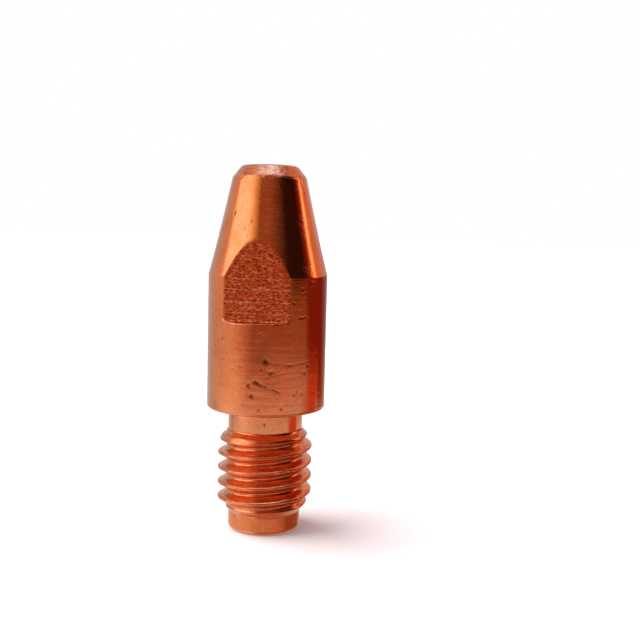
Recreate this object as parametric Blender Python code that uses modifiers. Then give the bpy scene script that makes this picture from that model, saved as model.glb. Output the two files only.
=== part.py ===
"""A copper contact tip for a MIG welding torch, 30 mm long with an M8 x 1.25 thread.

The tip stands on its threaded end: its axis is Z, its base is at z = 0 and its nose points up.
The two wrench flats face -Y and +Y. Every length is in metres.
"""
import math

import bmesh
import bpy

MM = 0.001

# Heights above the base
LENGTH = 30.0 * MM
NOSE_CHAMFER_Z = 29.05 * MM
CONE_Z = 21.2 * MM
FLAT_Z = 17.6 * MM
SHOULDER_Z = 10.2 * MM
THREAD_TOP_Z = 8.43 * MM
THREAD_BOTTOM_Z = 1.33 * MM

# Diameters
BODY_D = 9.75 * MM
FLATS_ACROSS = 8.1 * MM
NOSE_FACE_D = 4.52 * MM
NOSE_CHAMFER_D = 6.02 * MM
NECK_D = 6.16 * MM
PILOT_D = 6.0 * MM
THREAD_D = 7.85 * MM
WIRE_BORE_D = 1.4 * MM
INLET_BORE_D = 2.6 * MM

# Thread form: a 60 degree V cut to a flat root
PITCH = 1.25 * MM
ROOT_D = 6.4 * MM
CREST_WIDTH = PITCH / 8
CREST_HEIGHT_AT_X = 5.707 * MM
CUTTER_OVERRUN = 0.4 * MM

# Where the thread fades out: below its first crest, and over its last turn
FIRST_CREST_D = 7.0 * MM
FIRST_CREST_Z = 8.03 * MM
FULL_THREAD_TOP_Z = 7.23 * MM
FULL_THREAD_BOTTOM_Z = 2.63 * MM

# Edges
SHOULDER_EDGE_R = 0.25 * MM
BASE_EDGE_R = 0.35 * MM
NECK_FILLET_R = 0.3 * MM
LEDGE_FILLET_R = 0.3 * MM

# Ends of the bore
NOSE_COUNTERSINK = 0.15 * MM
INLET_COUNTERSINK = 0.7 * MM
INLET_DEPTH = 14.0 * MM
INLET_CONE_HEIGHT = 1.0 * MM

STEPS = 60
FILLET_SEGMENTS = 4
MERGE = 1e-7


def clear_scene():
    for old in list(bpy.data.objects):
        bpy.data.objects.remove(old, do_unlink=True)


def new_collection(name):
    made = bpy.data.collections.new(name)
    bpy.context.scene.collection.children.link(made)
    return made


def copper():
    material = bpy.data.materials.new("turned_copper")
    material.use_nodes = True
    shader = material.node_tree.nodes["Principled BSDF"]
    shader.inputs["Base Color"].default_value = (0.72, 0.29, 0.13, 1.0)
    shader.inputs["Metallic"].default_value = 1.0
    shader.inputs["Roughness"].default_value = 0.3
    return material


def add_mesh(name, bm, collection):
    mesh = bpy.data.meshes.new(name)
    bm.to_mesh(mesh)
    bm.free()
    made = bpy.data.objects.new(name, mesh)
    collection.objects.link(made)
    return made


def arc(centre_r, centre_z, radius, start, end):
    """Points on a round edge of the profile, from angle start to angle end in degrees."""
    points = []
    for i in range(FILLET_SEGMENTS + 1):
        angle = math.radians(start + (end - start) * i / FILLET_SEGMENTS)
        points.append((centre_r + radius * math.cos(angle), centre_z + radius * math.sin(angle)))
    return points


def outside_profile():
    """Radius and height down the outside, from the nose face to the base."""
    body_r, neck_r, pilot_r, thread_r = BODY_D / 2, NECK_D / 2, PILOT_D / 2, THREAD_D / 2
    edge, fillet, foot = SHOULDER_EDGE_R, NECK_FILLET_R, BASE_EDGE_R
    profile = [
        (NOSE_FACE_D / 2, LENGTH),
        (NOSE_CHAMFER_D / 2, NOSE_CHAMFER_Z),
        (body_r, CONE_Z),
    ]
    profile += arc(body_r - edge, SHOULDER_Z + edge, edge, 0, -90)
    profile += arc(neck_r + fillet, SHOULDER_Z - fillet, fillet, 90, 180)
    profile += [
        (neck_r, THREAD_TOP_Z),
        (FIRST_CREST_D / 2, FIRST_CREST_Z),
        (thread_r, FULL_THREAD_TOP_Z),
        (thread_r, FULL_THREAD_BOTTOM_Z),
        (pilot_r, THREAD_BOTTOM_Z),
    ]
    profile += arc(pilot_r - foot, foot, foot, 0, -90)
    return profile


def bore_profile():
    """Radius and height up the inside, from the inlet to the nose face."""
    inlet_r, wire_r = INLET_BORE_D / 2, WIRE_BORE_D / 2
    return [
        (inlet_r + INLET_COUNTERSINK, 0.0),
        (inlet_r, INLET_COUNTERSINK),
        (inlet_r, INLET_DEPTH),
        (wire_r, INLET_DEPTH + INLET_CONE_HEIGHT),
        (wire_r, LENGTH - NOSE_COUNTERSINK),
        (wire_r + NOSE_COUNTERSINK, LENGTH),
    ]


def turned_blank(collection):
    """The tip as it leaves the lathe, before its thread and its flats are cut."""
    profile = outside_profile() + bore_profile()
    bm = bmesh.new()
    corners = [bm.verts.new((r, 0.0, z)) for r, z in profile]
    for a, b in zip(corners, corners[1:] + corners[:1]):
        bm.edges.new((a, b))
    blank = add_mesh("contact_tip", bm, collection)
    turn = blank.modifiers.new("turn", "SCREW")
    turn.axis = "Z"
    turn.steps = STEPS
    turn.render_steps = STEPS
    turn.use_smooth_shade = True
    turn.use_merge_vertices = True
    turn.merge_threshold = MERGE
    return blank


def thread_cutter(collection):
    """The helical V groove, swept past both ends of the thread."""
    crest_r, root_r = THREAD_D / 2, ROOT_D / 2
    half_mouth = (PITCH - CREST_WIDTH) / 2
    half_root = half_mouth - (crest_r - root_r) * math.tan(math.radians(30))
    outer_r = crest_r + CUTTER_OVERRUN
    section = [
        (root_r, -half_root),
        (crest_r, -half_mouth),
        (outer_r, -half_mouth),
        (outer_r, half_mouth),
        (crest_r, half_mouth),
        (root_r, half_root),
    ]
    groove_at_x = CREST_HEIGHT_AT_X - PITCH / 2
    turns_below = math.ceil((groove_at_x - THREAD_BOTTOM_Z) / PITCH) + 1
    turns = turns_below + math.ceil((THREAD_TOP_Z - groove_at_x) / PITCH)
    start_z = groove_at_x - turns_below * PITCH
    bm = bmesh.new()
    face = bm.faces.new([bm.verts.new((r, 0.0, start_z + z)) for r, z in section])
    bmesh.ops.spin(
        bm,
        geom=[face, *face.edges, *face.verts],
        cent=(0, 0, 0),
        axis=(0, 0, 1),
        dvec=(0, 0, PITCH / STEPS),
        angle=math.tau * turns,
        steps=STEPS * turns,
        use_duplicate=False,
    )
    bmesh.ops.recalc_face_normals(bm, faces=bm.faces)
    return add_mesh("thread_cutter", bm, collection)


def flat_cutter(name, side, collection):
    """A box that leaves one wrench flat, open to the nose and rounded where it meets the ledge."""
    width = 2 * BODY_D
    height = LENGTH
    bm = bmesh.new()
    bmesh.ops.create_cube(bm, size=1.0)
    bmesh.ops.scale(bm, vec=(width, BODY_D, height), verts=bm.verts)
    middle_y = side * (FLATS_ACROSS + BODY_D) / 2
    bmesh.ops.translate(bm, vec=(0, middle_y, FLAT_Z + height / 2), verts=bm.verts)
    ledge_edges = []
    for edge in bm.edges:
        points = [v.co for v in edge.verts]
        at_ledge = all(abs(p.z - FLAT_Z) < MERGE for p in points)
        at_flat = all(abs(abs(p.y) - FLATS_ACROSS / 2) < MERGE for p in points)
        if at_ledge and at_flat:
            ledge_edges.append(edge)
    bmesh.ops.bevel(
        bm,
        geom=ledge_edges,
        offset=LEDGE_FILLET_R,
        segments=FILLET_SEGMENTS,
        profile=0.5,
        affect="EDGES",
    )
    return add_mesh(name, bm, collection)


def cut(target, cutter):
    cutter.hide_render = True
    cutter.display_type = "WIRE"
    difference = target.modifiers.new(cutter.name, "BOOLEAN")
    difference.operation = "DIFFERENCE"
    difference.solver = "EXACT"
    difference.object = cutter


def build():
    clear_scene()
    parts = new_collection("mig_contact_tip")
    cutters = new_collection("cutters")
    tip = turned_blank(parts)
    tip.data.materials.append(copper())
    cut(tip, thread_cutter(cutters))
    cut(tip, flat_cutter("front_flat_cutter", -1, cutters))
    cut(tip, flat_cutter("back_flat_cutter", 1, cutters))


build()
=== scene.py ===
"""The looks of a copper contact tip for a MIG welding torch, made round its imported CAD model.

The tip is one dense closed surface: a turned outline swept round Z, with the wrench flats, the
thread, the tool marks and the knocks worked into it. Lengths in this file are millimetres, except
that values go to Blender in metres. Bearings on the tip are degrees from -Y towards +X.
"""
import math

import bmesh
import bpy
import numpy as np
from mathutils import Matrix, Vector


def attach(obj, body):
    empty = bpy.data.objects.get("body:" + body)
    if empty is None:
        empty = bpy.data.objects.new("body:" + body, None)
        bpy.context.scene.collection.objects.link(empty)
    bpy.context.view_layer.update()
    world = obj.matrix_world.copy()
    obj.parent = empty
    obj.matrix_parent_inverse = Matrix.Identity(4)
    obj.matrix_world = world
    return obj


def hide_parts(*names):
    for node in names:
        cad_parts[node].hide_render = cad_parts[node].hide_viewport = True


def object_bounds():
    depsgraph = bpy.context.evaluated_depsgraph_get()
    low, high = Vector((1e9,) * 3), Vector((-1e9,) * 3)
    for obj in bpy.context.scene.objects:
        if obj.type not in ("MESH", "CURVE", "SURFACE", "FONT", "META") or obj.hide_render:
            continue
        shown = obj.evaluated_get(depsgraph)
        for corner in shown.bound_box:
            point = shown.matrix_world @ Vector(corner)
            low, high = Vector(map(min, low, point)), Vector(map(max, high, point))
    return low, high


MM = 0.001

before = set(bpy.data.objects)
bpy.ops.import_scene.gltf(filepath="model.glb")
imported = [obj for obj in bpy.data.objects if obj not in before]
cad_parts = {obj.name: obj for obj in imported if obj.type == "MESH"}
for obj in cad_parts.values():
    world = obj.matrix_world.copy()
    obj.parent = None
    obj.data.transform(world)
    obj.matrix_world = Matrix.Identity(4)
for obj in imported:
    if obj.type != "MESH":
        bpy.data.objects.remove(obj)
cad_low, cad_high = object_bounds()

# Driving sizes: the first two come from the frame, the others repeat part.py's
LENGTH = cad_high.z / MM
BODY_R = cad_high.y / MM
NOSE_CHAMFER_Z = 29.05
CONE_Z = 21.2
FLAT_Z = 17.6
SHOULDER_Z = 10.2
THREAD_TOP_Z = 8.43
FLAT_Y = 4.05
NOSE_FACE_R = 2.26
NOSE_CHAMFER_R = 3.01
NECK_R = 3.08
PILOT_R = 3.0
THREAD_R = 3.925
THREAD_ROOT_R = 3.2
FIRST_CREST_R = 3.5
FIRST_CREST_Z = 8.03
FULL_THREAD_TOP_Z = 7.23
FULL_THREAD_BOTTOM_Z = 2.63
PITCH = 1.25
CREST_HEIGHT_AT_X = 5.707
CREST_HALF = PITCH / 16
ROOT_ARC_R = 0.25
WIRE_BORE_R = 0.7
INLET_BORE_R = 1.3
INLET_DEPTH = 14.0
INLET_CONE_HEIGHT = 1.0
NOSE_COUNTERSINK = 0.15
INLET_COUNTERSINK = 0.7
SHOULDER_EDGE_R = 0.25
BASE_EDGE_R = 0.35
NECK_FILLET_R = 0.3
LEDGE_FILLET_R = 0.3
LEDGE_EDGE = 0.08
NOSE_EDGE_R = 0.5
NOSE_FOOT_R = 0.7

# How the worn tip departs from the drawing: a slightly hollow cone, flats that lean out upwards,
# and a thread whose foot ends a little higher
CONE_HOLLOW = 0.05
FLAT_LEAN = 0.0143
THREAD_FOOT_Z = 1.5

# Rounding of the edges that the cutters leave
FLAT_EDGE_BLEND = 0.035
CREST_BLEND = 0.03
CORE_BLEND = 0.05

# Too small to see: it keeps points apart and divisions finite
TINY = 1e-4

# A point of the flats counts as milled when the cutter took off more than this
MILLED_DEPTH = 0.012

# The threaded stretch of the mesh. Its rows in one turn are as far below the middle of a crest as
# TURN_ROWS says, closest together at the edges of the crest and in the root.
THREAD_ZONE_TOP = 8.6
THREAD_MIDDLE_Z = 5.0
THREAD_ZONE_BOTTOM = 1.15
HALF_TURN_ROWS = (0, 0.055, 0.10, 0.20, 0.32, 0.43, 0.50, 0.56)
TURN_ROWS = HALF_TURN_ROWS + (PITCH / 2,) + tuple(PITCH - below for below in HALF_TURN_ROWS[:0:-1])
FLANK_ANGLE = math.radians(30)

# The cone's rows are closer together below this height, which no flat reaches above
CONE_DENSE_Z = 25.0

# The camera stands in front of the front flat, a little to its right
CAMERA_AZIMUTH = math.radians(9.2)
CAMERA_BACK = 75.9
CAMERA_RIGHT = 4.352
CAMERA_HEIGHT = 25.54
CAMERA_PITCH = math.radians(6.035)
CAMERA_ROLL = math.radians(1.42)
CAMERA_LENS_MM = 52.0


# ---------------------------------------------------------------- camera


def add_camera():
    a, p = CAMERA_AZIMUTH, CAMERA_PITCH
    right = Vector((math.cos(a), math.sin(a), 0.0))
    heading = Vector((-math.sin(a), math.cos(a), 0.0))
    forward = heading * math.cos(p) - Vector((0, 0, 1)) * math.sin(p)
    up = right.cross(forward)
    rolled_right = right * math.cos(CAMERA_ROLL) + up * math.sin(CAMERA_ROLL)
    rolled_up = up * math.cos(CAMERA_ROLL) - right * math.sin(CAMERA_ROLL)
    place = right * CAMERA_RIGHT - heading * CAMERA_BACK + Vector((0, 0, CAMERA_HEIGHT))
    data = bpy.data.cameras.new("camera")
    data.lens = CAMERA_LENS_MM
    data.sensor_width = 36.0
    data.clip_start, data.clip_end = 0.005, 5.0
    camera = bpy.data.objects.new("camera", data)
    bpy.context.scene.collection.objects.link(camera)
    turn = Matrix((rolled_right, rolled_up, -forward)).transposed().to_4x4()
    camera.matrix_world = Matrix.Translation(place * MM) @ turn
    bpy.context.scene.camera = camera


# ---------------------------------------------------------------- outline and angles


def line(start, end, count):
    """Rows from start up to, but not including, end."""
    t = np.arange(count) / count
    return np.outer(1 - t, start) + np.outer(t, end)


def arc(centre, radius, start, end, count):
    """Rows on a round edge from angle start up to, but not including, end, in degrees."""
    a = np.radians(start + (end - start) * np.arange(count) / count)
    return np.stack([centre[0] + radius * np.cos(a), centre[1] + radius * np.sin(a)], axis=1)


def rounded(before, corner, after, radius, count):
    """Rows round a convex corner between two straight runs, both its ends among them."""
    before, corner, after = np.array(before), np.array(corner), np.array(after)
    a = (corner - before) / np.linalg.norm(corner - before)
    b = (after - corner) / np.linalg.norm(after - corner)
    turn = math.acos(np.dot(a, b))
    start = corner - a * radius * math.tan(turn / 2)
    centre = start + radius * np.array([a[1], -a[0]])
    first = math.atan2(start[1] - centre[1], start[0] - centre[0])
    at = first - turn * np.linspace(0, 1, count)
    return np.stack([centre[0] + radius * np.cos(at), centre[1] + radius * np.sin(at)], axis=1)


def cone_r(z):
    """Radius of the cone above the body."""
    share = (z - CONE_Z) / (NOSE_CHAMFER_Z - CONE_Z)
    return BODY_R + (NOSE_CHAMFER_R - BODY_R) * share - CONE_HOLLOW * np.sin(math.pi * share)


def cone_rows(top, bottom, count):
    """Rows down the cone from top up to, but not including, bottom."""
    z = top + (bottom - top) * np.arange(count) / count
    return np.stack([cone_r(z), z], axis=1)


def thread_top_row():
    """Height of the crest that the thread's rows start from, at the first column."""
    first = CREST_HEIGHT_AT_X + PITCH * column_angles()[0] / math.tau
    return first + PITCH * math.ceil((THREAD_ZONE_TOP - first) / PITCH)


def thread_row_count():
    turns = math.ceil((thread_top_row() + PITCH - THREAD_ZONE_BOTTOM) / PITCH)
    return turns * len(TURN_ROWS)


def outline():
    """Rows of (radius, height) round the section: down the outside and up the bore.

    Returns the rows and, for each row, the name of its region. The last value in each run below
    is how many rows it has.
    """
    wire, inlet = WIRE_BORE_R, INLET_BORE_R
    edge, foot, fillet = SHOULDER_EDGE_R, BASE_EDGE_R, NECK_FILLET_R
    inlet_top = INLET_DEPTH + INLET_CONE_HEIGHT
    bore_rim, face_rim = (wire + NOSE_COUNTERSINK, LENGTH), (NOSE_FACE_R, LENGTH)
    chamfer_foot = (NOSE_CHAMFER_R, NOSE_CHAMFER_Z)
    rim = rounded(bore_rim, face_rim, chamfer_foot, NOSE_EDGE_R, 9)
    cone_start = rounded(face_rim, chamfer_foot, (BODY_R, CONE_Z), NOSE_FOOT_R, 7)
    cone_top = cone_start[-1][1]
    runs = [
        ("face", line(bore_rim, rim[0], 6)),
        ("nose", rim[:-1]),
        ("nose", line(rim[-1], cone_start[0], 8)),
        ("nose", cone_start[:-1]),
        ("turned", cone_rows(cone_top, CONE_DENSE_Z, 26)),
        ("turned", cone_rows(CONE_DENSE_Z, CONE_Z, 44)),
        ("turned", line((BODY_R, CONE_Z), (BODY_R, FLAT_Z + LEDGE_FILLET_R), 42)),
        ("ledge", line((BODY_R, FLAT_Z + LEDGE_FILLET_R), (BODY_R, FLAT_Z - LEDGE_EDGE), 16)),
        ("turned", line((BODY_R, FLAT_Z - LEDGE_EDGE), (BODY_R, SHOULDER_Z + edge), 78)),
        ("turned", arc((BODY_R - edge, SHOULDER_Z + edge), edge, 0, -90, 7)),
        ("seat", line((BODY_R - edge, SHOULDER_Z), (NECK_R + fillet, SHOULDER_Z), 4)),
        ("turned", arc((NECK_R + fillet, SHOULDER_Z - fillet), fillet, 90, 180, 4)),
        ("turned", line((NECK_R, SHOULDER_Z - fillet), (NECK_R, THREAD_ZONE_TOP), 9)),
        ("thread", line((NECK_R, THREAD_ZONE_TOP), (PILOT_R, THREAD_ZONE_BOTTOM), thread_row_count())),
        ("turned", line((PILOT_R, THREAD_ZONE_BOTTOM), (PILOT_R, foot), 6)),
        ("turned", arc((PILOT_R - foot, foot), foot, 0, -90, 8)),
        ("seat", line((PILOT_R - foot, 0.0), (inlet + INLET_COUNTERSINK, 0.0), 2)),
        ("bore", line((inlet + INLET_COUNTERSINK, 0.0), (inlet, INLET_COUNTERSINK), 3)),
        ("bore", line((inlet, INLET_COUNTERSINK), (inlet, INLET_DEPTH), 6)),
        ("bore", line((inlet, INLET_DEPTH), (wire, inlet_top), 3)),
        ("bore", line((wire, inlet_top), (wire, LENGTH - NOSE_COUNTERSINK), 6)),
        ("bore", line((wire, LENGTH - NOSE_COUNTERSINK), (wire + NOSE_COUNTERSINK, LENGTH), 2)),
    ]
    rows = np.concatenate([run for _, run in runs])
    names = np.concatenate([[name] * len(run) for name, run in runs])
    return rows, names


def column_angles():
    """Angles once round the axis from +Y, with a column on each upright edge of the flats."""
    flat_half = math.degrees(math.acos(FLAT_Y / BODY_R))
    spans = [
        (-180, flat_half - 180, 22),
        (flat_half - 180, -60, 42),
        (-60, -flat_half, 26),
        (-flat_half, flat_half, 70),
        (flat_half, 60, 26),
        (60, 180 - flat_half, 42),
        (180 - flat_half, 180, 22),
    ]
    bearings = np.concatenate([start + (end - start) * np.arange(n) / n for start, end, n in spans])
    return np.radians(bearings - 90)


# ---------------------------------------------------------------- noise


def smooth_noise(points, seed):
    """Value noise of points (..., 3), about -1 to 1, the same each run."""
    cell = np.floor(points).astype(np.int64)
    part = points - cell
    part = part * part * (3 - 2 * part)
    total = np.zeros(points.shape[:-1])
    for corner in range(8):
        offset = np.array([corner & 1, (corner >> 1) & 1, corner >> 2])
        key = (cell + offset) * np.array([73856093, 19349663, 83492791]) + seed * 2654435761
        mixed = key[..., 0] ^ key[..., 1] ^ key[..., 2]
        mixed = (mixed ^ (mixed >> 13)) * 1274126177 & 0xFFFFFFFF
        value = (mixed ^ (mixed >> 16)) & 0xFFFF
        weight = np.prod(np.where(offset, part, 1 - part), axis=-1)
        total += weight * (value / 32767.5 - 1)
    return total


def streaks(angle, radius, z, length, width, seed):
    """Noise drawn out round the axis: length and width are a streak's size in mm."""
    around = np.stack([radius * np.cos(angle), radius * np.sin(angle)], axis=-1) / length
    return smooth_noise(np.concatenate([around, z[..., None] / width], axis=-1), seed)


# ---------------------------------------------------------------- shape


def smooth_min(a, b, width):
    """The lesser of a and b, rounded over width where they cross."""
    share = np.clip(0.5 + (b - a) / (2 * width), 0, 1)
    return b + (a - b) * share - width * share * (1 - share)


def smooth_max(a, b, width):
    return -smooth_min(-a, -b, width)


def bump(distance, width):
    """A smooth hump, 1 where distance is 0."""
    return np.exp(-((distance / width) ** 2))


def lay_thread_rows(z, angle):
    """Heights of the thread's rows, which climb with its helix and stop at the zone's ends."""
    row = np.arange(z.shape[0])
    turn, part = np.divmod(row, len(TURN_ROWS))
    below = turn * PITCH + np.array(TURN_ROWS)[part]
    climb = PITCH * (angle - angle[0, 0]) / math.tau
    z[:] = np.clip(thread_top_row() + climb - below[:, None], THREAD_ZONE_BOTTOM, THREAD_ZONE_TOP)


def thread_radius(z, angle):
    """Radius of the thread zone: a 60 degree thread with flat crests, faded at both ends."""
    turn = (z - CREST_HEIGHT_AT_X) / PITCH - angle / math.tau
    from_crest = np.abs((turn + 0.5) % 1 - 0.5) * PITCH
    flank = THREAD_R - (from_crest - CREST_HALF) / math.tan(FLANK_ANGLE)
    radius = smooth_min(flank, np.full_like(z, THREAD_R), CREST_BLEND)
    from_root = np.minimum(PITCH / 2 - from_crest, ROOT_ARC_R)
    root = THREAD_ROOT_R + ROOT_ARC_R - np.sqrt(ROOT_ARC_R**2 - from_root**2)
    radius = np.where(from_root < ROOT_ARC_R * math.cos(FLANK_ANGLE), root, radius)
    heights = [THREAD_FOOT_Z, FULL_THREAD_BOTTOM_Z, FULL_THREAD_TOP_Z, FIRST_CREST_Z, THREAD_TOP_Z]
    limits = [PILOT_R - CORE_BLEND, THREAD_R, THREAD_R, FIRST_CREST_R, NECK_R - CORE_BLEND]
    radius = smooth_min(radius, np.interp(z, heights, limits), CREST_BLEND)
    core = np.where(z > THREAD_MIDDLE_Z, NECK_R, PILOT_R)
    radius = smooth_max(radius, core, CORE_BLEND)
    nicks = np.maximum(streaks(angle, THREAD_R, z, 0.5, 0.5, 11) - 0.45, 0)
    on_crest = bump(from_crest, 0.13) * (radius > THREAD_R - 0.25)
    drag = streaks(angle, THREAD_R, z, 1.2, 0.3, 12)
    on_thread = np.clip((radius - core) / 0.1, 0, 1)
    return radius - NICK_DEPTH * nicks * on_crest + DIE_DRAG * drag * on_thread


def cut_flats(radius, z, angle, names):
    """Cuts both wrench flats above the ledge and lays the ledge's rows along it.

    Returns the mask of the points that the cutter shaped.
    """
    plain = radius.copy()
    across = np.maximum(np.abs(np.sin(angle)), TINY)
    flat = (FLAT_Y + FLAT_LEAN * np.maximum(z - FLAT_Z, 0)) / across
    above = (names == "turned") & (z[:, 0] > FLAT_Z)
    radius[above] = smooth_min(radius[above], flat[above], FLAT_EDGE_BLEND)
    rows = np.flatnonzero(names == "ledge")
    share = np.linspace(0, 1, len(rows) + 1)[:-1]
    fillet_a = np.radians(np.linspace(0, 90, 9))
    corner_a = np.radians(np.linspace(90, 0, 5))
    for column in range(radius.shape[1]):
        flat_r = FLAT_Y / across[0, column]
        fillet_r = flat_r + LEDGE_FILLET_R * (1 - np.cos(fillet_a))
        fillet_z = FLAT_Z + LEDGE_FILLET_R * (1 - np.sin(fillet_a))
        path_r = smooth_min(fillet_r, np.full_like(fillet_r, BODY_R), FLAT_EDGE_BLEND)
        edge = min(LEDGE_EDGE, (BODY_R - path_r[-1]) / 2 + TINY)
        corner_r = BODY_R - edge + edge * np.cos(corner_a)
        corner_z = FLAT_Z - edge + edge * np.sin(corner_a)
        path_r = np.concatenate([path_r, corner_r, [BODY_R]])
        path_z = np.concatenate([fillet_z, corner_z, [FLAT_Z - LEDGE_EDGE - TINY]])
        steps = np.hypot(np.diff(path_r), np.diff(path_z)) + TINY**2
        run = np.concatenate([[0], np.cumsum(steps)])
        radius[rows, column] = np.interp(share * run[-1], run, path_r)
        z[rows, column] = np.interp(share * run[-1], run, path_z)
    return plain - radius > MILLED_DEPTH


# ---------------------------------------------------------------- wear

# Small round knocks: bearing, height, radius and depth
PITS = (
    (-4.0, 12.75, 0.10, 0.025),
    (2.0, 13.05, 0.10, 0.025),
    (4.5, 12.95, 0.10, 0.03),
    (7.5, 12.80, 0.08, 0.02),
    (-1.0, 11.95, 0.11, 0.03),
    (11.5, 14.65, 0.16, 0.03),
    (16.0, 13.75, 0.12, 0.015),
    (-49.0, 9.55, 0.08, 0.02),
    (11.0, 9.27, 0.08, 0.02),
    (-35.0, 26.1, 0.13, 0.03),
    (-16.0, 24.9, 0.12, 0.01),
    (-8.0, 25.5, 0.10, 0.015),
)

# Scratches: points of (bearing, height), then the width, the depth and the dirt in them
SCRATCHES = (
    (((10.0, 12.75), (12.5, 12.65)), 0.05, 0.005, 0.8),
    (((18.0, 12.47), (22.0, 12.33), (25.0, 12.2)), 0.05, 0.005, 0.8),
    (((-5.5, 12.12), (-5.5, 11.88)), 0.05, 0.005, 0.6),
    (((11.5, 14.6), (22.0, 14.42), (35.0, 14.35), (48.0, 14.45), (60.0, 14.6)), 0.04, 0.003, 0.7),
    (((11.7, 13.4), (17.0, 13.5), (23.0, 13.62), (28.0, 13.7)), 0.04, 0.004, 0.4),
    (((13.0, 13.9), (19.0, 13.75), (24.0, 13.95)), 0.04, 0.004, 0.4),
    (((3.0, 17.05), (10.0, 16.5)), 0.05, 0.004, 0.0),
    (((-14.0, 16.1), (-9.0, 14.9)), 0.05, 0.003, 0.0),
    (((43.0, 18.1), (47.0, 18.05), (51.0, 18.15)), 0.05, 0.010, 0.5),
    (((28.0, 28.6), (30.5, 28.2), (34.0, 28.7)), 0.06, 0.012, 0.2),
    (((66.0, 28.7), (70.0, 28.3), (70.0, 27.9)), 0.10, 0.04, 0.6),
)

# Painted shade on the front of the collar, standing in for the dark room that it mirrors towards the
# viewer: bearing, height, radius and darkness
FRONT_PAINTED_SHADE = (
    (10.0, 15.6, 0.75, 0.40),
    (5.0, 14.7, 0.55, 0.35),
    (14.0, 16.4, 0.50, 0.25),
    (17.0, 12.6, 0.60, 0.15),
)

# Heights above the ledge of the cutter's long lines across the flats, painted bright as highlights, half
# their width, and how far they wander up and down
CUTTER_HIGHLIGHT_HEIGHTS = (0.70, 1.16, 1.58, 2.60, 3.42)
CUTTER_HIGHLIGHT_HALF = 0.05
CUTTER_WANDER = 0.25

# Dirt fills a pit this deep, and spreads past its rim
DIRTY_DEPTH = 0.02
DIRT_SPREAD = 1.3

# Specks scattered at random, and how dark they are for each mm of their depth
SPECK_SEED = 7
SPECK_COUNT = 260
SPECK_RADII = (0.05, 0.10)
SPECK_DEPTHS = (0.004, 0.015)
SPECK_DARKNESS = 40

# Heights of the marks that the tools leave
MILL_MARKS = 0.007
LATHE_MARKS = 0.001
NICK_DEPTH = 0.10
DIE_DRAG = 0.010
TORN_NOSE = 0.018
TORN_NOSE_SINK = 0.012

# Feed rings that the lathe tool leaves on the cone, just above its corner with the collar
FEED_RINGS = 0.004
FEED = 0.32
FEED_RINGS_ABOVE = 0.75
FEED_RINGS_SPREAD = 0.6


def distance_to_path(arc_length, z, path):
    """Distance in mm on the surface from each grid point to a path of (bearing, height) points."""
    nearest = np.full(z.shape, np.inf)
    for (b0, z0), (b1, z1) in zip(path, path[1:]):
        x0, x1 = (math.radians(b) * BODY_R for b in (b0, b1))
        dx, dz = x1 - x0, z1 - z0
        along = ((arc_length - x0) * dx + (z - z0) * dz) / (dx * dx + dz * dz)
        along = np.clip(along, 0, 1)
        distance = np.hypot(arc_length - x0 - along * dx, z - z0 - along * dz)
        nearest = np.minimum(nearest, distance)
    return nearest


def knocks(bearing, z):
    """Depth of the knocks and scratches, and how dark the surface is, from 0 to 1: dirt in the knocks,
    scratches and specks, and painted shade on the collar's front.
    """
    arc_length = np.radians(bearing) * BODY_R
    depth = np.zeros(z.shape)
    dirt_and_shade = np.zeros(z.shape)
    for at, height, radius, deep in PITS:
        away = np.hypot(arc_length - math.radians(at) * BODY_R, z - height)
        depth += deep * bump(away, radius)
        dirt_and_shade += min(deep / DIRTY_DEPTH, 1.0) * bump(away, DIRT_SPREAD * radius)
    for path, width, deep, dark in SCRATCHES:
        hump = bump(distance_to_path(arc_length, z, path), width)
        depth += deep * hump
        dirt_and_shade += dark * hump
    # Painted shade: darker patches where the collar's front mirrors the dark room
    for at, height, radius, dark in FRONT_PAINTED_SHADE:
        away = np.hypot(arc_length - math.radians(at) * BODY_R, z - height)
        dirt_and_shade += dark * bump(away, radius)
    random = np.random.default_rng(SPECK_SEED)
    for _ in range(SPECK_COUNT):
        at, height = random.uniform(-180, 180), random.uniform(SHOULDER_Z, NOSE_CHAMFER_Z)
        radius, deep = random.uniform(*SPECK_RADII), random.uniform(*SPECK_DEPTHS)
        hump = bump(np.hypot(arc_length - math.radians(at) * BODY_R, z - height), radius)
        depth += deep * hump
        dirt_and_shade += SPECK_DARKNESS * deep * hump
    return depth, np.clip(dirt_and_shade, 0, 1)


def tool_marks(angle, radius, z, milled):
    """Height of the marks that the mill leaves on the flats and the lathe tool elsewhere."""
    x, side = radius * np.cos(angle), np.sign(np.sin(angle))
    fine = np.stack([x / 0.22, side, z / 0.17], axis=-1)
    broad = np.stack([x / 0.8, side, z / 0.45], axis=-1)
    mill = MILL_MARKS * (smooth_noise(fine, 21) + smooth_noise(broad, 22))
    lathe = -LATHE_MARKS * (1 + streaks(angle, radius, z, 2.5, 0.2, 24))
    near_corner = bump(z - CONE_Z - FEED_RINGS_ABOVE, FEED_RINGS_SPREAD) * (z > CONE_Z)
    lathe -= FEED_RINGS * near_corner * (1 + np.cos(math.tau * z / FEED))
    return np.where(milled, mill, lathe)


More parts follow.
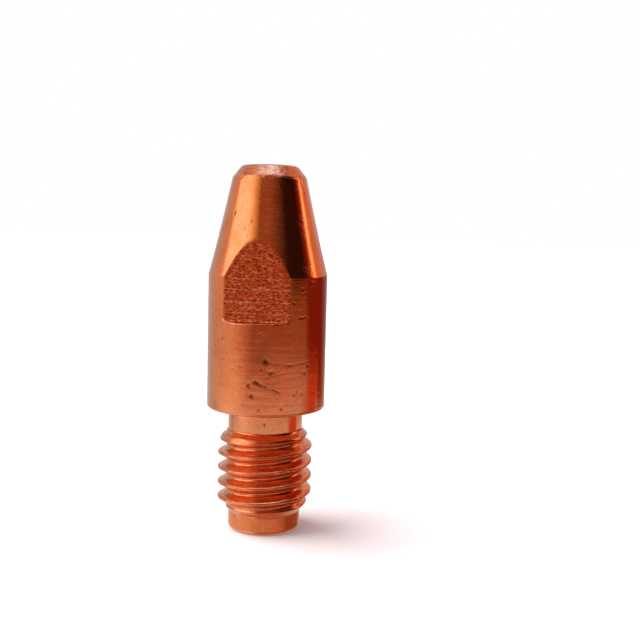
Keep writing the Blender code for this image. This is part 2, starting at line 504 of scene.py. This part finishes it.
def tip_grid():
    """The whole surface: points (row, column, 3), rows' regions, milled mask, and dirt with painted
    shade.
    """
    rows, names = outline()
    angle = np.broadcast_to(column_angles(), (len(rows), len(column_angles()))).copy()
    radius = np.broadcast_to(rows[:, :1], angle.shape).copy()
    z = np.broadcast_to(rows[:, 1:], angle.shape).copy()
    threaded = names == "thread"
    thread_z = z[threaded]
    lay_thread_rows(thread_z, angle[threaded])
    z[threaded] = thread_z
    radius[threaded] = thread_radius(thread_z, angle[threaded])
    radius[threaded[:, None] & (z >= THREAD_ZONE_TOP)] = NECK_R
    radius[threaded[:, None] & (z <= THREAD_ZONE_BOTTOM)] = PILOT_R
    milled = cut_flats(radius, z, angle, names)
    bearing = np.degrees(angle) + 90
    depth, dirt_and_shade = knocks(bearing, z)
    past_thread = (z < THREAD_FOOT_Z) | (z > THREAD_TOP_Z)
    worn = np.isin(names, ["turned", "ledge"])[:, None] | (threaded[:, None] & past_thread)
    radius += np.where(worn, tool_marks(angle, radius, z, milled) - depth, 0)
    nose = names == "nose"
    torn = streaks(angle, NOSE_CHAMFER_R, z, 0.3, 0.15, 31)
    torn += streaks(angle, NOSE_CHAMFER_R, z, 0.8, 0.4, 32)
    radius[nose] += TORN_NOSE * torn[nose] - TORN_NOSE_SINK
    points = np.stack([radius * np.cos(angle), radius * np.sin(angle), z], axis=-1)
    return points, names, milled, np.where(worn, dirt_and_shade, 0)


def thread_neighbours(index, names):
    """Index of each point's neighbour round the axis; in the thread the last column meets the
    first one turn up, because the rows climb."""
    right = np.roll(index, -1, axis=1)
    rows = np.flatnonzero(names == "thread")
    partner = np.maximum(np.arange(len(rows)) - len(TURN_ROWS), 0)
    right[rows, -1] = index[rows[partner], 0]
    return right


def tip_mesh():
    points, names, milled, dirt_and_shade = tip_grid()
    index = np.arange(milled.size).reshape(milled.shape)
    right = thread_neighbours(index, names)
    below = np.roll(index, -1, axis=0)
    below_right = np.roll(right, -1, axis=0)
    faces = np.stack([index, below, below_right, right], axis=-1).reshape(-1, 4)
    mesh = bpy.data.meshes.new("contact_tip_surface")
    mesh.from_pydata((points.reshape(-1, 3) * MM).tolist(), [], faces.tolist())
    region = np.zeros(index.shape, int)
    region[milled] = 1
    height = points[..., 2]
    region[(names == "thread")[:, None] & (height > THREAD_FOOT_Z) & (height < THREAD_TOP_Z)] = 2
    region[names == "bore"] = 3
    region[np.isin(names, ["nose", "face"])] = 4
    mesh.polygons.foreach_set("material_index", region.ravel())
    # Dirt in the knocks and specks, and painted shade on the collar's front
    attribute = mesh.attributes.new("dirt_and_shade", "FLOAT", "POINT")
    attribute.data.foreach_set("value", dirt_and_shade.ravel())
    bm = bmesh.new()
    bm.from_mesh(mesh)
    bmesh.ops.remove_doubles(bm, verts=bm.verts, dist=2e-7)
    bm.to_mesh(mesh)
    bm.free()
    mesh.shade_smooth()
    return mesh


# ---------------------------------------------------------------- materials


class Nodes:
    """A short way to add and link a material's or a world's nodes."""

    def __init__(self, tree):
        self.tree = tree
        tree.nodes.clear()

    def add(self, kind, links=(), **values):
        made = self.tree.nodes.new(kind)
        for key, value in values.items():
            setattr(made, key, value)
        for socket, value in dict(links).items():
            self.put(made.inputs[socket], value)
        return made

    def put(self, socket, value):
        if isinstance(value, bpy.types.NodeSocket):
            self.tree.links.new(value, socket)
        else:
            socket.default_value = value

    def math(self, operation, a, b=0.0, c=0.0):
        return self.add("ShaderNodeMath", {0: a, 1: b, 2: c}, operation=operation).outputs[0]

    def ramp(self, factor, stops):
        made = self.add("ShaderNodeValToRGB", {"Fac": factor})
        ramp = made.color_ramp
        while len(ramp.elements) < len(stops):
            ramp.elements.new(0.5)
        for element, (place, colour) in zip(ramp.elements, stops):
            element.position = place
            element.color = (*colour, 1.0)
        return made.outputs["Color"]

    def noise(self, vector, scale, detail=2.0, roughness=0.5, distortion=0.0):
        links = {
            "Vector": vector,
            "Scale": scale,
            "Detail": detail,
            "Roughness": roughness,
            "Distortion": distortion,
        }
        return self.add("ShaderNodeTexNoise", links).outputs["Fac"]

    def step(self, value, low, high):
        """0 below low, 1 above high, smooth between; low may be the greater."""
        links = {"Value": value, "From Min": low, "From Max": high}
        return self.add("ShaderNodeMapRange", links, interpolation_type="SMOOTHSTEP").outputs[0]

    def mix(self, share, a, b):
        made = self.add("ShaderNodeMix", {0: share, 6: a, 7: b}, data_type="RGBA")
        return made.outputs[2]

    def tint(self, colour, mask, share, towards):
        """The colour drawn towards another by share where the mask is 1."""
        return self.mix(self.math("MULTIPLY", mask, share), colour, rgba(towards))

    def place(self):
        return self.add("ShaderNodeTexCoord").outputs["Object"]

    def parts(self, vector):
        """The x, y and z of a vector."""
        return self.add("ShaderNodeSeparateXYZ", {0: vector}).outputs

    def bump(self, height, depth, normal=None):
        """A bump of depth metres, laid over an earlier one where that is given."""
        links = {"Height": height, "Strength": 1.0, "Distance": depth}
        if normal is not None:
            links["Normal"] = normal
        return self.add("ShaderNodeBump", links).outputs[0]


def grey(value):
    return (value, value, value)


def rgba(colour):
    return (*colour, 1.0)


def unrolled(n, around, along, slant=0.0, outward=0.0):
    """Coordinates whose features are 1/around radians long and 1/along mm high.

    With a slant the features run off askew. With outward they are also 1/outward mm wide
    from the axis outward, so that they make rings on a face.
    """
    x, y, z = n.parts(n.place())
    radius = n.math("SQRT", n.math("ADD", n.math("MULTIPLY", x, x), n.math("MULTIPLY", y, y)))
    radius = n.math("MAXIMUM", radius, 1e-5)
    x, y = n.math("DIVIDE", x, radius), n.math("DIVIDE", y, radius)
    height = n.math("MULTIPLY", z, along / MM)
    if outward:
        height = n.math("MULTIPLY_ADD", radius, -outward / MM, height)
    if slant:
        height = n.math("MULTIPLY_ADD", x, slant, height)
    links = {"X": n.math("MULTIPLY", x, around), "Y": n.math("MULTIPLY", y, around), "Z": height}
    return n.add("ShaderNodeCombineXYZ", links).outputs[0]


def in_mm(n, x=1.0, y=1.0, z=1.0):
    """Object coordinates with x, y and z features to the mm."""
    links = {"Vector": n.place(), "Scale": (x / MM, y / MM, z / MM)}
    return n.add("ShaderNodeMapping", links).outputs[0]


def chatter_and_glint_patch(n):
    """1 on the strip up the front of the cone where the lathe tool chattered, and where its marks get
    painted glints.
    """
    x, y, z = n.parts(n.place())
    bearing = n.math("ARCTAN2", x, n.math("MULTIPLY", y, -1.0))
    past_left = n.step(bearing, math.radians(-2), math.radians(6))
    past_right = n.step(bearing, math.radians(38), math.radians(28))
    on_cone = n.step(z, CONE_Z * MM, (CONE_Z + 1.0) * MM)
    return n.math("MULTIPLY", n.math("MULTIPLY", past_left, past_right), on_cone)


def hairlines(n, vector, width, scale):
    """Thin lines, 1 on them: where a drawn-out noise crosses its middle."""
    value = n.noise(vector, scale, 1.0, 0.4)
    from_middle = n.math("ABSOLUTE", n.math("SUBTRACT", value, 0.5))
    return n.step(from_middle, width, 0.0)


def cutter_line_highlights(n):
    """1 on the cutter's long lines across the flats, which wander a little: where the flats get painted
    highlights.
    """
    height = n.math("DIVIDE", n.parts(n.place())[2], MM)
    wander = n.math("MULTIPLY", n.noise(in_mm(n, 0.5, 0.5, 0.3), 1.0, 3.0), CUTTER_WANDER)
    above = n.math("SUBTRACT", n.math("ADD", height, wander), FLAT_Z + CUTTER_WANDER / 2)
    reach = CUTTER_HIGHLIGHT_HEIGHTS[-1] + 1.0
    stops = [(0.0, grey(0.0))]
    for line_z in CUTTER_HIGHLIGHT_HEIGHTS:
        stops.append(((line_z - CUTTER_HIGHLIGHT_HALF) / reach, grey(0.0)))
        stops.append((line_z / reach, grey(1.0)))
        stops.append(((line_z + CUTTER_HIGHLIGHT_HALF) / reach, grey(0.0)))
    return n.ramp(n.math("DIVIDE", above, reach), stops)


def specks(n, per_mm, size):
    """Sparse small dots, 1 in them."""
    cells = n.add("ShaderNodeTexVoronoi", {"Vector": in_mm(n), "Scale": per_mm, "Randomness": 1.0})
    chosen = n.parts(cells.outputs["Color"])[0]
    reach = n.math("MULTIPLY", n.step(chosen, 0.55, 1.0), size)
    return n.step(n.math("SUBTRACT", reach, cells.outputs["Distance"]), 0.0, size * 0.4)


def new_material(name):
    material = bpy.data.materials.new(name)
    material.use_nodes = True
    return material, Nodes(material.node_tree)


def finish_metal(n, colour, roughness, normal):
    links = {"Base Color": colour, "Metallic": 1.0, "Roughness": roughness, "Normal": normal}
    shader = n.add("ShaderNodeBsdfPrincipled", links)
    n.add("ShaderNodeOutputMaterial", {"Surface": shader.outputs[0]})


def turned_copper():
    """The lathe's surface: fine rings, stains, hairline scratches, specks and dirty knocks, with painted
    shade on the collar's front and painted glints on the cone's chatter marks.
    """
    material, n = new_material("turned_copper")
    rings = n.noise(unrolled(n, 3.0, 9.0), 1.0, 4.0, 0.65)
    fine_rings = n.noise(unrolled(n, 5.0, 26.0), 1.0, 2.0, 0.6)
    stains = n.noise(unrolled(n, 2.6, 0.55), 1.0, 5.0, 0.65, 0.4)
    mottle = n.noise(in_mm(n), 4.5, 3.0, 0.6)
    rising = hairlines(n, unrolled(n, 0.5, 2.4, 8.0), 0.010, 1.3)
    falling = hairlines(n, unrolled(n, 0.4, 2.0, -6.0), 0.009, 1.7)
    scratched = n.step(n.noise(in_mm(n), 0.45, 2.0), 0.52, 0.64)
    scratches = n.math("MULTIPLY", n.math("MAXIMUM", rising, falling), scratched)
    dots = specks(n, 1.5, 0.17)
    chatter_marks_and_glints = n.step(n.noise(unrolled(n, 4.0, 5.5), 1.0, 1.0, 0.5, 0.2), 0.52, 0.60)
    chatter_marks_and_glints = n.math("MULTIPLY", chatter_marks_and_glints, chatter_and_glint_patch(n))
    # Dirt in the knocks, and painted shade on the collar's front, both darken the colour
    dirt_and_shade = n.add("ShaderNodeAttribute", attribute_name="dirt_and_shade").outputs["Fac"]
    colour = n.ramp(
        stains, [(0.30, (0.93, 0.33, 0.14)), (0.52, (0.90, 0.29, 0.115)), (0.70, (0.78, 0.235, 0.085))]
    )
    colour = n.tint(colour, n.step(mottle, 0.45, 0.80), 1.0, (0.80, 0.22, 0.075))
    colour = n.tint(colour, scratches, 0.3, (0.98, 0.48, 0.28))
    # Painted glints: the chatter marks are drawn brighter, as if they caught the light; their dents are
    # real bump
    colour = n.tint(colour, chatter_marks_and_glints, 0.5, (1.0, 0.46, 0.26))
    dark = n.math("MAXIMUM", n.math("MULTIPLY", dots, 0.7), dirt_and_shade)
    colour = n.tint(colour, dark, 1.0, (0.16, 0.035, 0.015))
    rough = n.math("MULTIPLY_ADD", n.step(stains, 0.4, 0.75), 0.5, n.step(rings, 0.2, 0.9))
    rough = n.math("MULTIPLY_ADD", rough, 0.05, 0.055)
    rough = n.math("MULTIPLY_ADD", dirt_and_shade, 0.3, rough)
    normal = n.bump(rings, 0.000002)
    normal = n.bump(fine_rings, 0.0000004, normal)
    normal = n.bump(mottle, 0.000001, normal)
    normal = n.bump(n.math("ADD", scratches, dots), -0.0000015, normal)
    normal = n.bump(chatter_marks_and_glints, -0.000004, normal)
    finish_metal(n, colour, rough, normal)
    return material


def milled_copper():
    """The flats: dark and pitted by the cutter, with a few long lines across painted bright as
    highlights.
    """
    material, n = new_material("milled_copper")
    pits = n.noise(in_mm(n, 3.2, 3.2, 7.0), 1.0, 4.0, 0.75, 0.5)
    chatter = n.noise(in_mm(n, 1.2, 1.2, 3.5), 1.0, 4.0, 0.62, 0.6)
    broken = n.step(n.noise(in_mm(n, 0.5, 0.5, 1.2), 1.0, 2.0), 0.42, 0.55)
    line_highlights = n.math("MULTIPLY", cutter_line_highlights(n), broken)
    colour = n.ramp(
        pits, [(0.38, (0.26, 0.026, 0.006)), (0.50, (0.72, 0.110, 0.028)), (0.62, (0.99, 0.35, 0.16))]
    )
    colour = n.tint(colour, n.step(chatter, 0.45, 0.65), 0.6, (0.42, 0.06, 0.016))
    # Painted highlights along the cutter's lines
    colour = n.tint(colour, line_highlights, 0.75, (1.0, 0.52, 0.36))
    rough = n.math("MULTIPLY_ADD", n.step(pits, 0.3, 0.7), 0.14, 0.22)
    normal = n.bump(chatter, 0.00003)
    normal = n.bump(pits, 0.00002, normal)
    finish_metal(n, colour, rough, normal)
    return material


def faced_copper():
    """The nose: faced off roughly, so torn and patchy."""
    material, n = new_material("faced_copper")
    torn = n.noise(unrolled(n, 5.0, 5.0, outward=5.0), 1.0, 5.0, 0.7, 0.6)
    colour = n.ramp(
        torn, [(0.35, (0.60, 0.15, 0.06)), (0.50, (0.88, 0.28, 0.12)), (0.66, (0.96, 0.42, 0.24))]
    )
    rough = n.math("MULTIPLY_ADD", n.step(torn, 0.3, 0.7), 0.14, 0.14)
    finish_metal(n, colour, rough, n.bump(torn, 0.00002))
    return material


def threaded_copper():
    """The thread: cut with a die, so streaked along its turns."""
    material, n = new_material("threaded_copper")
    streak = n.noise(unrolled(n, 4.0, 16.0), 1.0, 4.0, 0.7, 0.2)
    mottle = n.noise(in_mm(n), 5.0, 3.0, 0.6)
    colour = n.ramp(
        streak, [(0.34, (0.66, 0.15, 0.05)), (0.50, (0.88, 0.26, 0.10)), (0.66, (1.0, 0.44, 0.24))]
    )
    colour = n.tint(colour, n.step(mottle, 0.5, 0.85), 1.0, (0.60, 0.14, 0.05))
    rough = n.math("MULTIPLY_ADD", n.step(streak, 0.25, 0.75), 0.10, 0.11)
    normal = n.bump(streak, 0.000008)
    normal = n.bump(mottle, 0.000003, normal)
    finish_metal(n, colour, rough, normal)
    return material


def bore_copper():
    """The drilled inside: darker and rougher."""
    material, n = new_material("bore_copper")
    rings = n.noise(unrolled(n, 2.0, 10.0), 1.0, 3.0, 0.6)
    colour = n.ramp(rings, [(0.3, (0.42, 0.12, 0.05)), (0.7, (0.66, 0.22, 0.09))])
    rough = n.math("MULTIPLY_ADD", n.step(rings, 0.3, 0.7), 0.2, 0.35)
    finish_metal(n, colour, rough, n.bump(rings, 0.00001))
    return material


def add_tip():
    tip = bpy.data.objects.new("contact_tip_surface", tip_mesh())
    bpy.context.scene.collection.objects.link(tip)
    for material in (turned_copper(), milled_copper(), threaded_copper(), bore_copper(), faced_copper()):
        tip.data.materials.append(material)
    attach(tip, "root")
    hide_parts("contact_tip")


# ---------------------------------------------------------------- studio

# What the metal mirrors: a grey wall behind the tip, white cards on the left, a dark room behind
# the viewer, a second copper tip glowing on the right, and paper underneath
WALL = grey(0.38)
CARD = grey(0.77)
DAYLIGHT = (0.25, 0.30, 0.34)
OLIVE = (0.40, 0.34, 0.16)
UMBER = (0.15, 0.065, 0.035)
BLACK = (0.012, 0.004, 0.002)
GLINT = (0.68, 0.62, 0.45)
ORANGE = (0.40, 0.15, 0.04)
RED = (0.28, 0.06, 0.03)
EMBER = (0.10, 0.012, 0.005)
SLATE = (0.12, 0.10, 0.12)
BRIGHT_PAPER = (0.46, 0.57, 0.72)
PAPER = (0.34, 0.36, 0.40)
DIM_PAPER = (0.16, 0.12, 0.09)
CREAM = (0.43, 0.37, 0.32)
SAND = (0.36, 0.28, 0.24)
TAN = (0.34, 0.20, 0.13)
BLUSH = (0.28, 0.21, 0.22)
ROSE = (0.30, 0.18, 0.17)
CEILING = (0.20, 0.10, 0.08)
CEILING_LEFT = (0.34, 0.22, 0.17)
LAMP = (0.60, 1.1, 1.9)

# The room's walls: colours at degrees to the viewer's right of the viewer
WALLS = (
    (-180, WALL),
    (-142, DAYLIGHT),
    (-105, SAND),
    (-95, CARD),
    (-56, CARD),
    (-38, OLIVE),
    (-24, UMBER),
    (0, UMBER),
    (42, BLACK),
    (78, BLACK),
    (90, EMBER),
    (96, RED),
    (101, GLINT),
    (105, GLINT),
    (112, ORANGE),
    (125, ROSE),
    (180, WALL),
)

# All of it: for each height above the horizon in degrees, the colours there
BANDS = (
    (-75.0, ((-180, ROSE), (180, ROSE))),
    (
        -42.0,
        (
            (-180, WALL),
            (-80, BRIGHT_PAPER),
            (-45, BRIGHT_PAPER),
            (-20, DIM_PAPER),
            (90, DIM_PAPER),
            (180, WALL),
        ),
    ),
    (
        -18.0,
        (
            (-180, WALL),
            (-80, CREAM),
            (-45, SAND),
            (38, ROSE),
            (80, UMBER),
            (130, UMBER),
            (180, WALL),
        ),
    ),
    (
        -12.8,
        (
            (-180, WALL),
            (-120, DAYLIGHT),
            (-80, BRIGHT_PAPER),
            (-25, PAPER),
            (70, PAPER),
            (82, RED),
            (108, RED),
            (117, PAPER),
            (180, WALL),
        ),
    ),
    (
        -10.8,
        (
            (-180, WALL),
            (-140, DAYLIGHT),
            (-85, CREAM),
            (-60, CREAM),
            (-36, ROSE),
            (42, ROSE),
            (54, BLUSH),
            (82, BLUSH),
            (93, RED),
            (117, RED),
            (123, EMBER),
            (140, UMBER),
            (180, WALL),
        ),
    ),
    (
        -7.5,
        (
            (-180, WALL),
            (-145, DAYLIGHT),
            (-70, SAND),
            (-50, ROSE),
            (-28, UMBER),
            (78, UMBER),
            (88, EMBER),
            (130, EMBER),
            (150, SLATE),
            (180, WALL),
        ),
    ),
    (
        -4.5,
        (
            (-180, WALL),
            (-150, DAYLIGHT),
            (-75, SAND),
            (-28, UMBER),
            (76, UMBER),
            (86, EMBER),
            (125, EMBER),
            (150, SLATE),
            (180, WALL),
        ),
    ),
    (
        -3.9,
        (
            (-180, WALL),
            (-140, DAYLIGHT),
            (-98, SAND),
            (-60, TAN),
            (-28, UMBER),
            (30, UMBER),
            (55, BLACK),
            (90, EMBER),
            (125, EMBER),
            (150, SLATE),
            (180, WALL),
        ),
    ),
    (9.0, WALLS),
    (36.0, WALLS),
    (62.0, ((-180, CEILING), (-90, CEILING_LEFT), (0, CEILING), (180, CEILING))),
    (78.0, ((-180, LAMP), (180, LAMP))),
)
MIRRORED_STRENGTH = 2.0

# The light that reaches the floor from all round, and the window's on top of it
ROOM_LIGHT = (0.72, 0.58, 0.59)
WINDOW_STRENGTH = 4.0
WINDOW_WIDTH = math.radians(66)
WINDOW_BEARING = math.radians(-101)
WINDOW_HEIGHT = math.radians(52)


def to_camera():
    """The camera's bearing from the tip, in radians."""
    return math.atan2(CAMERA_RIGHT, CAMERA_BACK) + CAMERA_AZIMUTH


def band_colours(n):
    """The studio's colour in every direction, as the metal mirrors it."""
    direction = n.add("ShaderNodeTexCoord").outputs["Generated"]
    links = {"Vector": direction, "Rotation": (0.0, 0.0, -to_camera())}
    turned = n.add("ShaderNodeMapping", links, vector_type="POINT").outputs[0]
    x, y, z = n.parts(turned)
    bearing = n.math("ARCTAN2", x, n.math("MULTIPLY", y, -1.0))
    share = n.math("MULTIPLY_ADD", bearing, 1 / math.tau, 0.5)
    height = n.math("ARCSINE", z)
    bands = [n.ramp(share, [((at + 180) / 360, colour) for at, colour in stops]) for _, stops in BANDS]
    heights = [math.radians(degrees) for degrees, _ in BANDS]
    seen = bands[0]
    for low, high, band in zip(heights, heights[1:], bands[1:]):
        seen = n.mix(n.step(height, low, high), seen, band)
    return seen


def background(n, colour, strength):
    return n.add("ShaderNodeBackground", {"Color": colour, "Strength": strength}).outputs[0]


def add_world():
    """The studio for the metal to mirror, pinkish light for the floor, and a white backdrop."""
    world = bpy.data.worlds.new("studio")
    bpy.context.scene.world = world
    world.use_nodes = True
    n = Nodes(world.node_tree)
    mirrored = background(n, band_colours(n), MIRRORED_STRENGTH)
    room = background(n, rgba(ROOM_LIGHT), 1.0)
    backdrop = background(n, rgba(grey(1.0)), 1.0)
    ray = n.add("ShaderNodeLightPath").outputs
    lit = n.add("ShaderNodeMixShader", {0: ray["Is Glossy Ray"], 1: room, 2: mirrored}).outputs[0]
    shown = n.add("ShaderNodeMixShader", {0: ray["Is Camera Ray"], 1: lit, 2: backdrop}).outputs[0]
    n.add("ShaderNodeOutputWorld", {"Surface": shown})


def add_window():
    """Broad soft light from the left, which the metal doesn't mirror."""
    data = bpy.data.lights.new("window", "SUN")
    data.energy = WINDOW_STRENGTH
    data.angle = WINDOW_WIDTH
    light = bpy.data.objects.new("window", data)
    bpy.context.scene.collection.objects.link(light)
    bearing, level = to_camera() + WINDOW_BEARING, math.cos(WINDOW_HEIGHT)
    away = Vector((math.sin(bearing) * level, -math.cos(bearing) * level, math.sin(WINDOW_HEIGHT)))
    light.rotation_mode = "QUATERNION"
    light.rotation_quaternion = (-away).to_track_quat("-Z", "Y")
    light.visible_glossy = False


def add_floor():
    bpy.ops.mesh.primitive_plane_add(size=3.0, location=(0, 0, 0))
    floor = bpy.context.object
    floor.name = "floor"
    material, n = new_material("white_paper")
    fibres = n.noise(in_mm(n), 0.8, 4.0, 0.6)
    colour = n.ramp(fibres, [(0.3, (0.85, 0.83, 0.83)), (0.7, (0.87, 0.85, 0.85))])
    links = {"Base Color": colour, "Roughness": 0.9, "Specular IOR Level": 0.0}
    shader = n.add("ShaderNodeBsdfPrincipled", links)
    n.add("ShaderNodeOutputMaterial", {"Surface": shader.outputs[0]})
    floor.data.materials.append(material)
    floor.visible_glossy = False


def add_studio():
    add_world()
    add_window()
    add_floor()
    view = bpy.context.scene.view_settings
    view.view_transform = "Standard"
    view.look = "None"


# ---------------------------------------------------------------- make it all


add_camera()
add_tip()
add_studio()
